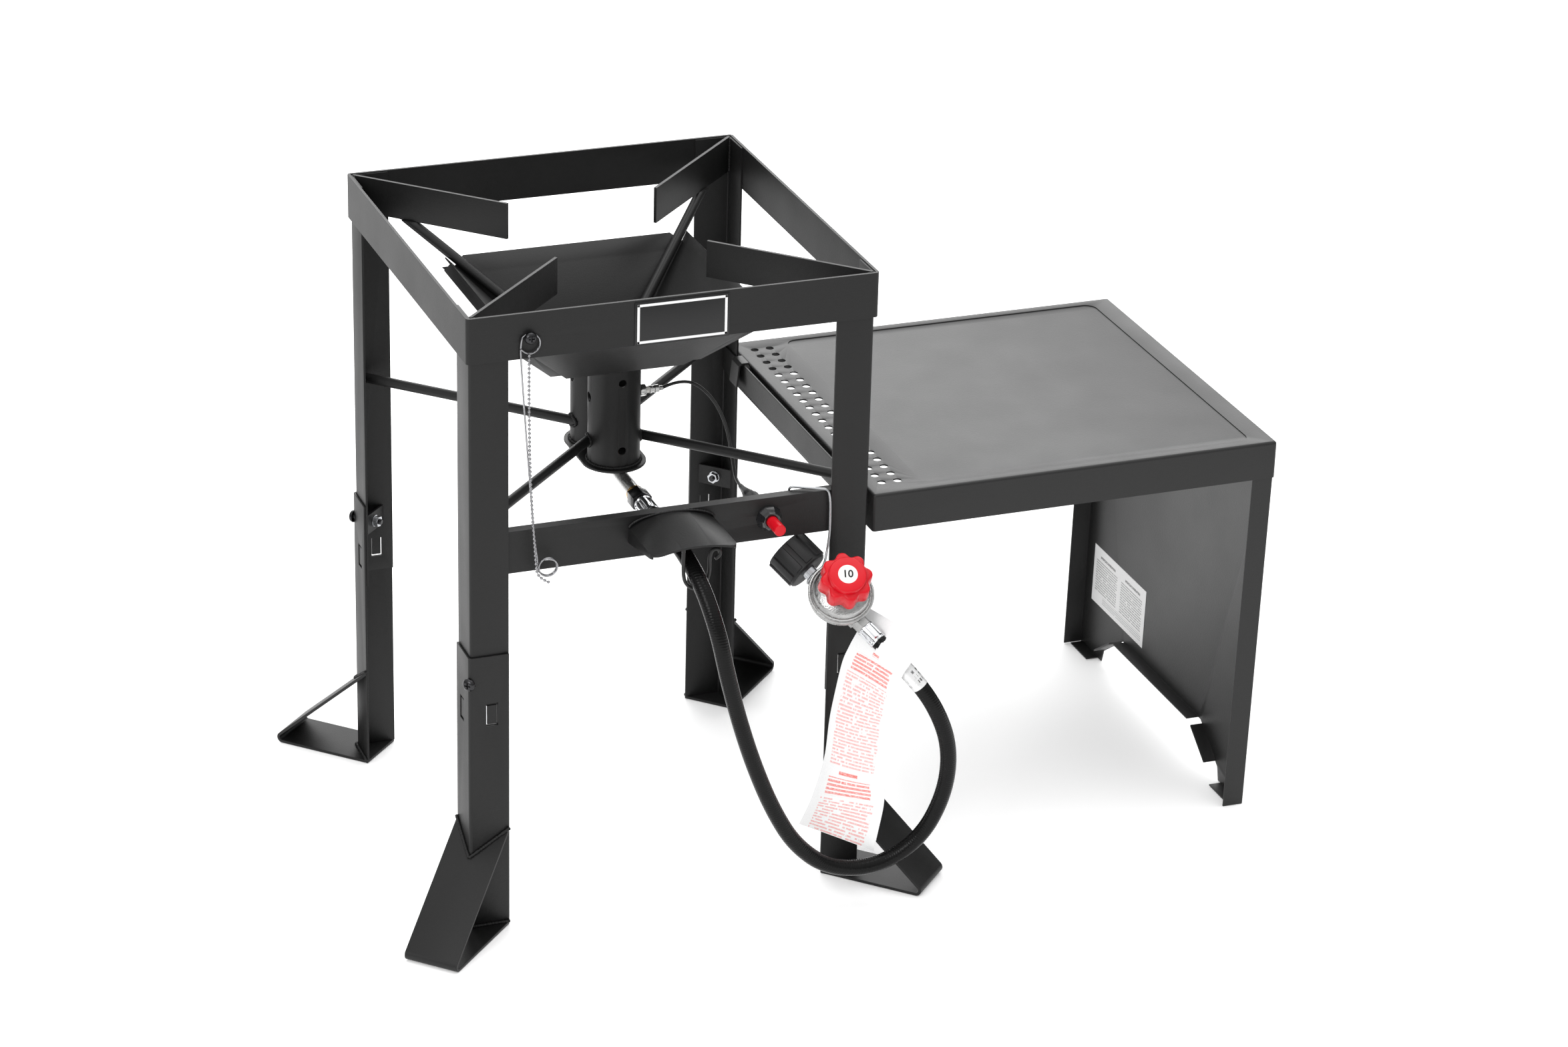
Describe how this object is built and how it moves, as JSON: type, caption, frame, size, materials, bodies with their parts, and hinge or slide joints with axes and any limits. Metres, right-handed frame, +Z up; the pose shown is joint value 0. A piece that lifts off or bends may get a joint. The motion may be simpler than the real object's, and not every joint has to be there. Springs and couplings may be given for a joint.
{
  "type": "propane burner stand",
  "caption": "Square steel pot stand on splayed-foot legs with a tube burner under a wind bowl, gas hose with regulator, push igniter and a hook-on side table.",
  "frame": {"origin": "on the floor, under the middle of the whole object (stand and side table, without the hose and what hangs on it)", "axes": "+X from the stand to the side table, +Y to the back, +Z up"},
  "size_m": [0.917, 0.5954, 0.638],
  "materials": {
    "black_powder_coat": "satin textured black powder coat",
    "table_powder_coat": "satin black powder coat with a fine texture",
    "black_screw": "black oxide screw",
    "bright_zinc": "bright zinc plated wire and nuts",
    "chrome_plate": "bright plated fitting",
    "brass": "turned brass",
    "black_wire": "black coated wire",
    "gloss_black_plastic": "glossy black moulding",
    "black_plastic": "satin black moulding",
    "red_plastic": "red moulding",
    "lead_insulation": "black lead insulation",
    "hose_rubber": "smooth black hose with a faint lengthwise sheen",
    "diaphragm_rubber": "thin rubber sheet",
    "die_cast_zinc": "raw die-cast metal, grainy",
    "tag_paper": "white coated paper",
    "silver_label": "silver-white printed film",
    "plate_enamel": "black enamel with a white frame"
  },
  "bodies": {
    "stand": {"top_ring": "black_powder_coat", "pot_supports": "black_powder_coat", "upper_leg_br": "black_powder_coat", "upper_leg_bl": "black_powder_coat", "upper_leg_fl": "black_powder_coat", "upper_leg_fr": "black_powder_coat", "lower_leg_br": "black_powder_coat", "lower_leg_bl": "black_powder_coat", "lower_leg_fl": "black_powder_coat", "lower_leg_fr": "black_powder_coat", "foot_br": "black_powder_coat", "foot_bl": "black_powder_coat", "foot_fl": "black_powder_coat", "foot_fr": "black_powder_coat", "front_crossbar": "black_powder_coat", "side_crossbar": "black_powder_coat", "burner_rods": "black_powder_coat", "bowl_rods": "black_powder_coat", "bowl_front": "black_powder_coat", "bowl_back": "black_powder_coat", "bowl_left": "black_powder_coat", "bowl_right": "black_powder_coat", "bowl_floor": "black_powder_coat", "burner_tube_front": "black_powder_coat", "burner_tube_back": "black_powder_coat", "burner_base_plate": "black_powder_coat", "hose_guard": "black_powder_coat", "leg_nut_plates": "black_powder_coat", "leg_bolts": "black_screw", "match_screw": "black_screw", "leg_nuts": "bright_zinc", "regulator_hook": "bright_zinc", "gas_pipe": "chrome_plate", "hose_ferrules": "chrome_plate", "flare_nut": "chrome_plate", "gas_jets": "brass", "pipe_collar": "brass", "igniter_electrode": "brass", "hose_hanger": "black_wire", "igniter_bezel": "gloss_black_plastic", "igniter_barrel": "black_plastic", "inlet_nipple": "black_plastic", "igniter_boots": "black_plastic", "igniter_lead": "lead_insulation", "gas_hose": "hose_rubber", "regulator_diaphragm": "diaphragm_rubber", "regulator_body": "die_cast_zinc", "regulator_bonnet": "die_cast_zinc", "hose_tag": "tag_paper", "hose_band": "silver_label", "name_plate": "plate_enamel"},
    "side_table": {"side_table_top": "table_powder_coat", "side_table_leg": "black_powder_coat", "side_table_hooks": "black_powder_coat", "safety_label": "silver_label"},
    "igniter_button": {"igniter_plunger": "red_plastic"},
    "regulator_knob": {"regulator_knob": "red_plastic"},
    "coupling_nut": {"coupling_nut": "black_plastic"},
    "match_holder": {"match_holder": "bright_zinc", "bead_chain": "bright_zinc"}
  },
  "joints": [
    {"name": "side_table_lift", "type": "slide", "parent": "stand", "child": "side_table", "axis": [0, 0, 1], "range_m": [0, 0.06]},
    {"name": "igniter_press", "type": "slide", "parent": "stand", "child": "igniter_button", "axis": [0, 1, 0], "range_m": [0, 0.006], "stiffness_N_per_m": 600, "springref_m": -0.003},
    {"name": "knob_turn", "type": "hinge", "parent": "stand", "child": "regulator_knob", "pos_m": [-0.02277, -0.245, 0.329], "axis": [-0.1325, -0.6588, 0.7406], "range_deg": [0, 900]},
    {"name": "hand_nut_spin", "type": "hinge", "parent": "stand", "child": "coupling_nut", "pos_m": [-0.0485, -0.19371, 0.34572], "axis": [0.4933, -0.6919, -0.5272], "continuous": true},
    {"name": "match_holder_swing", "type": "hinge", "parent": "stand", "child": "match_holder", "pos_m": [-0.32217, -0.203, 0.6145], "axis": [0, 1, 0], "range_deg": [-14, 30]}
  ]
}
